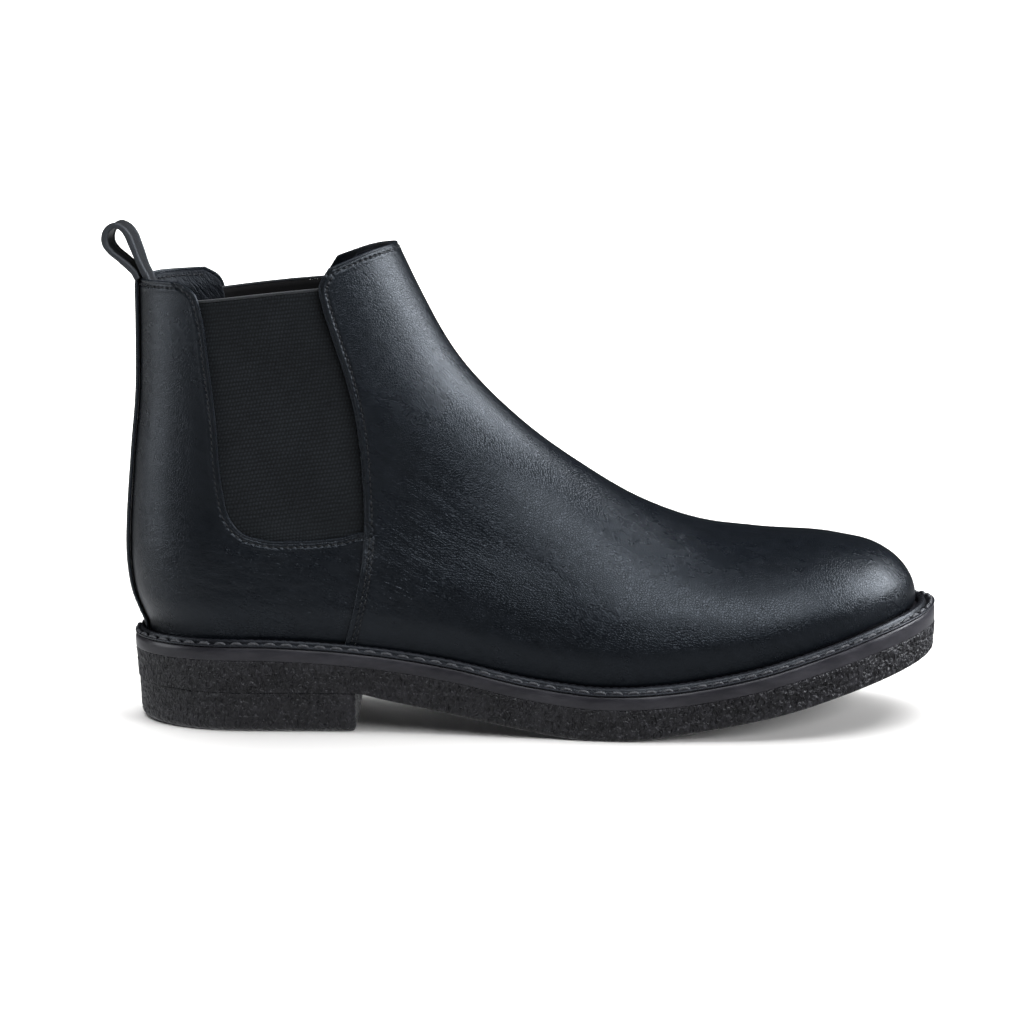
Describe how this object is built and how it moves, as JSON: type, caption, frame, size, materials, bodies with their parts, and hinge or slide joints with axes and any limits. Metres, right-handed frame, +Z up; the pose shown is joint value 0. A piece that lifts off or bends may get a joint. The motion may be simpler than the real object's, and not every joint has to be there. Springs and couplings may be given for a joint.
{
  "type": "chelsea boot",
  "caption": "Right ankle boot with elastic side gussets, a rear pull loop, a storm welt and a crepe-textured rubber sole with a separate heel.",
  "frame": {"origin": "bottom centre of the bounding box, on the ground under the boot", "axes": "+X from heel to toe, +Y towards the wearer's left foot (the boot's inner side), +Z up"},
  "size_m": [0.3154, 0.1038, 0.1877],
  "materials": {
    "upper_leather": "smooth polished black calf with fine grain",
    "lining_leather": "soft creased black lining leather",
    "elastic": "matte black woven elastic",
    "crepe_rubber": "matte black crepe relief",
    "sole_band": "smooth satin brown-black band",
    "thread": "waxed black thread",
    "board": "pressed fibre board",
    "cork": "granulated cork",
    "foam": "open-cell foam",
    "stiffener": "impregnated fibre sheet",
    "steel": "plain spring steel"
  },
  "bodies": {
    "boot": {"outsole": "crepe_rubber", "heel_block": "crepe_rubber", "midsole": "sole_band", "heel_nail_1": "steel", "heel_nail_2": "steel", "heel_nail_3": "steel", "heel_nail_4": "steel", "heel_nail_5": "steel", "welt": "upper_leather", "welt_thread": "thread", "bottom_filler": "cork", "shank": "steel", "insole_board": "board", "heel_cushion": "foam", "sock_liner": "lining_leather", "vamp": "upper_leather", "vamp_lining": "lining_leather", "toe_puff": "stiffener", "quarter_lateral": "upper_leather", "quarter_medial": "upper_leather", "back_strip": "upper_leather", "heel_lining": "lining_leather", "heel_counter": "stiffener", "gusset_lateral": "elastic", "gusset_medial": "elastic", "gusset_binding_lateral": "elastic", "gusset_binding_medial": "elastic"},
    "rear_collar": {"quarter_lateral_upper": "upper_leather", "quarter_medial_upper": "upper_leather", "back_strip_upper": "upper_leather", "heel_lining_upper": "lining_leather"},
    "pull_tab": {"pull_tab": "upper_leather"}
  },
  "joints": [
    {"name": "collar_lean", "type": "hinge", "parent": "boot", "child": "rear_collar", "pos_m": [-0.15107, 0, 0.075], "axis": [0, -1, 0], "range_deg": [0, 9], "stiffness_Nm_per_rad": 1.5},
    {"name": "pull_tab_swing", "type": "hinge", "parent": "rear_collar", "child": "pull_tab", "pos_m": [-0.14228, 0, 0.1702], "axis": [0, -1, 0], "range_deg": [-80, 35], "stiffness_Nm_per_rad": 0.02}
  ]
}
